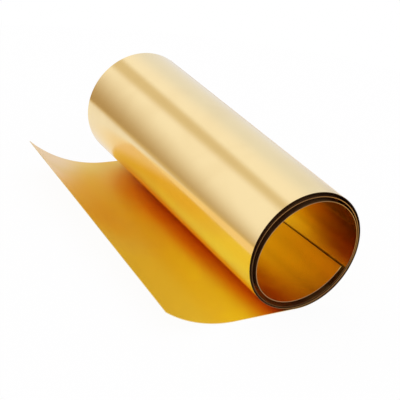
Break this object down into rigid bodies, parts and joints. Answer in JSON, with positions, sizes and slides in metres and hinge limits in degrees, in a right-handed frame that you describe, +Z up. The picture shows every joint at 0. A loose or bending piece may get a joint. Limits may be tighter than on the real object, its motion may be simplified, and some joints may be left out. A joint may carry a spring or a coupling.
{
  "type": "shim stock roll",
  "caption": "Thin brass sheet wound in a loose open roll, lying on its side, with its free end flat on the floor and curled up at the edge",
  "frame": {"origin": "centre of the bounding box, at the floor under the roll", "axes": "+Y along the roll from its smaller to its larger end, +Z up, the free tail points to -X"},
  "size_m": [0.087, 0.1524, 0.0571],
  "materials": {
    "brass": "bright rolled, with fine lines along the rolling direction"
  },
  "bodies": {
    "root": {"shim_sheet": "brass"}
  },
  "joints": []
}
